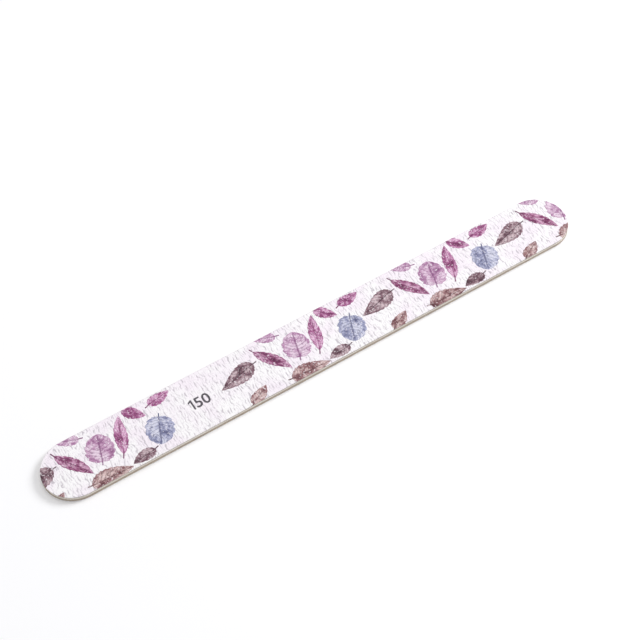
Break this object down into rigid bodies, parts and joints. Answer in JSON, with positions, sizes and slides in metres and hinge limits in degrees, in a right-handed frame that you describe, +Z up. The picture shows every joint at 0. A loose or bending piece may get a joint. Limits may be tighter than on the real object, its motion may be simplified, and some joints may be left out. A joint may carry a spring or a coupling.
{
  "type": "emery board",
  "caption": "Flat wooden emery board with round ends, faced on both sides with white abrasive paper in a scattered leaf print, for filing nails",
  "frame": {"origin": "centre of the lower face, on the surface that the board lies on", "axes": "+X along the board, towards the end away from the grit number; +Y across it; +Z up through the layers, out of the upper face"},
  "size_m": [0.178, 0.019, 0.002],
  "materials": {
    "core_wood": "bare die-cut basswood, pale cream to tan, with dark fibre lines along the edge",
    "glue": "thin dried adhesive line, greyish tan",
    "backing_paper": "heavy off-white paper, slightly frayed where the die cut it",
    "make_resin": "cured resin, pale and dull",
    "abrasive_grain": "white aluminium oxide grain, fine and sharp",
    "top_coat": "dry white coat with a fine crinkle across the board",
    "plum_ink": "deep plum ink laid like watercolour, speckled by the grain",
    "magenta_ink": "soft magenta ink laid like watercolour, speckled by the grain",
    "orchid_ink": "pale orchid ink laid like watercolour, speckled by the grain",
    "mauve_ink": "mauve brown ink laid like watercolour, speckled by the grain",
    "rose_ink": "rose brown ink laid like watercolour, speckled by the grain",
    "periwinkle_ink": "periwinkle ink laid like watercolour, speckled by the grain"
  },
  "bodies": {
    "root": {"wood_core": "core_wood", "upper_glue_film": "glue", "lower_glue_film": "glue", "upper_backing_paper": "backing_paper", "lower_backing_paper": "backing_paper", "upper_make_coat": "make_resin", "lower_make_coat": "make_resin", "upper_grain_layer": "abrasive_grain", "lower_grain_layer": "abrasive_grain", "upper_top_coat": "top_coat", "lower_top_coat": "top_coat", "upper_plum_leaves": "plum_ink", "upper_magenta_leaves": "magenta_ink", "upper_orchid_leaves": "orchid_ink", "upper_mauve_leaves": "mauve_ink", "upper_rose_leaves": "rose_ink", "upper_periwinkle_leaves": "periwinkle_ink", "lower_plum_leaves": "plum_ink", "lower_magenta_leaves": "magenta_ink", "lower_orchid_leaves": "orchid_ink", "lower_mauve_leaves": "mauve_ink", "lower_rose_leaves": "rose_ink", "lower_periwinkle_leaves": "periwinkle_ink"}
  },
  "joints": []
}
